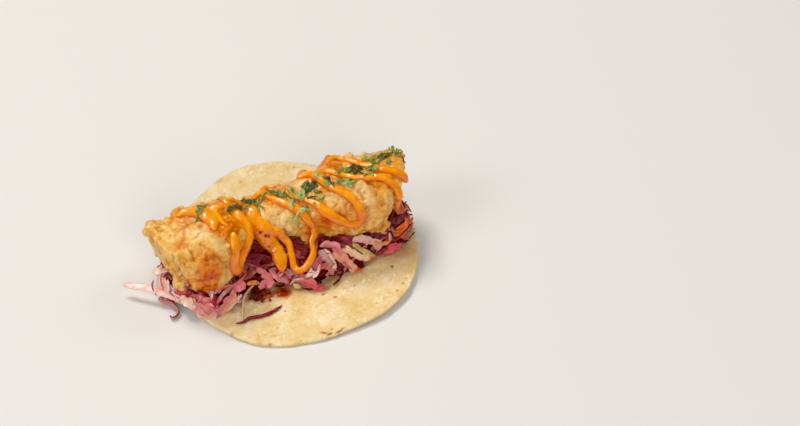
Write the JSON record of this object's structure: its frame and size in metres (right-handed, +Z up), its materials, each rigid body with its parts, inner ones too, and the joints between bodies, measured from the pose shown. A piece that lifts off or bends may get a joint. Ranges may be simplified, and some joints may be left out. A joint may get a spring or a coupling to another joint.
{
  "type": "fish taco",
  "caption": "Open fish taco: a round corn tortilla under a heap of cabbage slaw, battered fish goujons laid along the middle, and squiggles of spiced sauce.",
  "frame": {"origin": "centre of the tortilla's flat underside, on the surface that the taco lies on", "axes": "+X along the fish towards its higher end, +Y across the tortilla towards its bare side, +Z up"},
  "size_m": [0.1726, 0.1477, 0.0527],
  "materials": {
    "tortilla": "matt, soft",
    "slaw": "moist",
    "battered_fish": "crisp, slightly oily",
    "sauce": "glossy",
    "pink_cabbage": "moist",
    "purple_cabbage": "moist"
  },
  "bodies": {
    "root": {"tortilla": "tortilla", "slaw": "slaw", "fish_left": "battered_fish", "fish_right": "battered_fish", "sauce_blob": "sauce", "sauce_smear": "sauce", "sauce_left_loop": "sauce", "sauce_middle_drip": "sauce", "sauce_middle_loop": "sauce", "sauce_long_loop": "sauce", "sauce_back_loop": "sauce", "sauce_corner_drip": "sauce", "shred_long": "pink_cabbage", "shred_curl": "purple_cabbage", "shred_flat": "purple_cabbage"}
  },
  "joints": []
}
